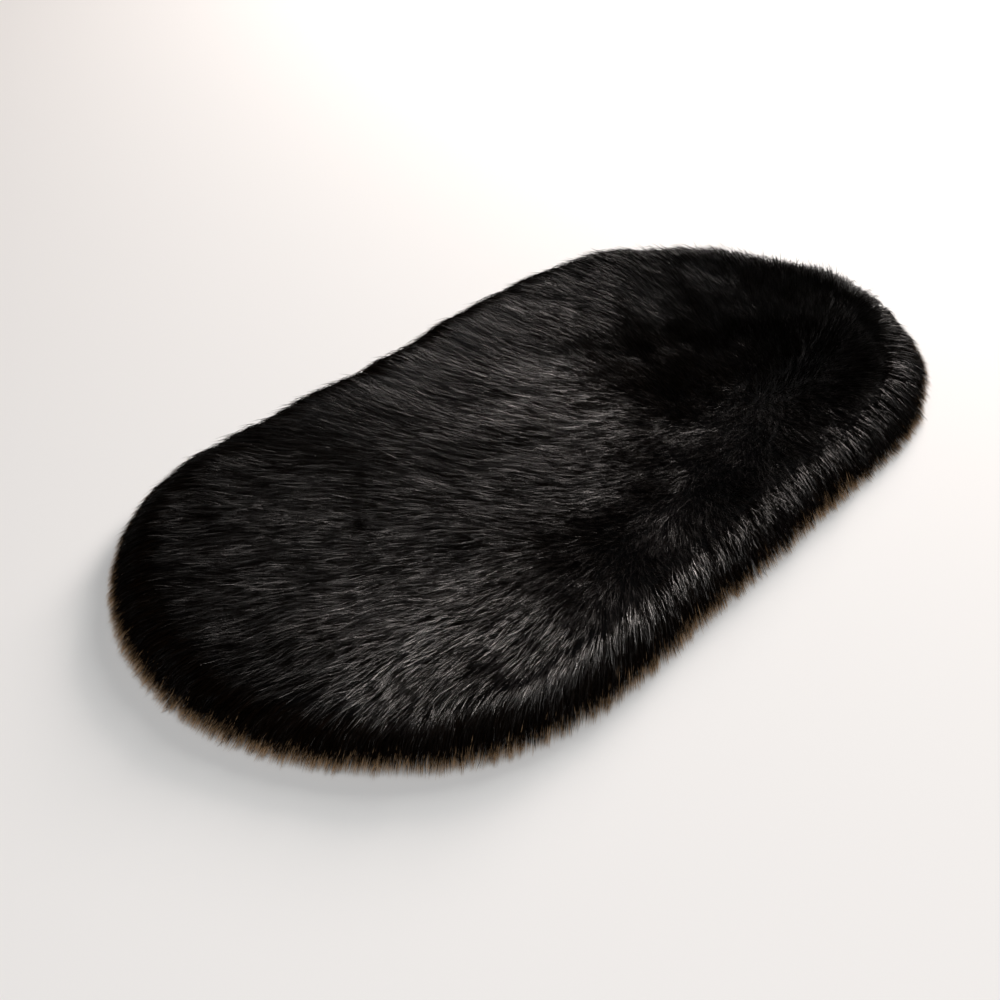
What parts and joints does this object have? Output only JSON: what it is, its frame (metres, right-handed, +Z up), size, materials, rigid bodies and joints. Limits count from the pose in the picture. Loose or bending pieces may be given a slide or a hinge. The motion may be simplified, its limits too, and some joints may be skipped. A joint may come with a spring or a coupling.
{
  "type": "faux fur rug",
  "caption": "Long oval faux fur floor rug with a slight waist, deep black pile combed outward from a whorl and pointed locks fanning over its rim.",
  "frame": {"origin": "centre of the rug's outline on the plane of its underside, where it lies on the floor", "axes": "+X along the length towards the end with the whorl, +Y across, +Z up out of the pile"},
  "size_m": [1.2814, 0.6778, 0.0507],
  "materials": {
    "black_pile": "soft synthetic pile with a sheen"
  },
  "bodies": {
    "root": {"fur_panel": "black_pile"}
  },
  "joints": []
}
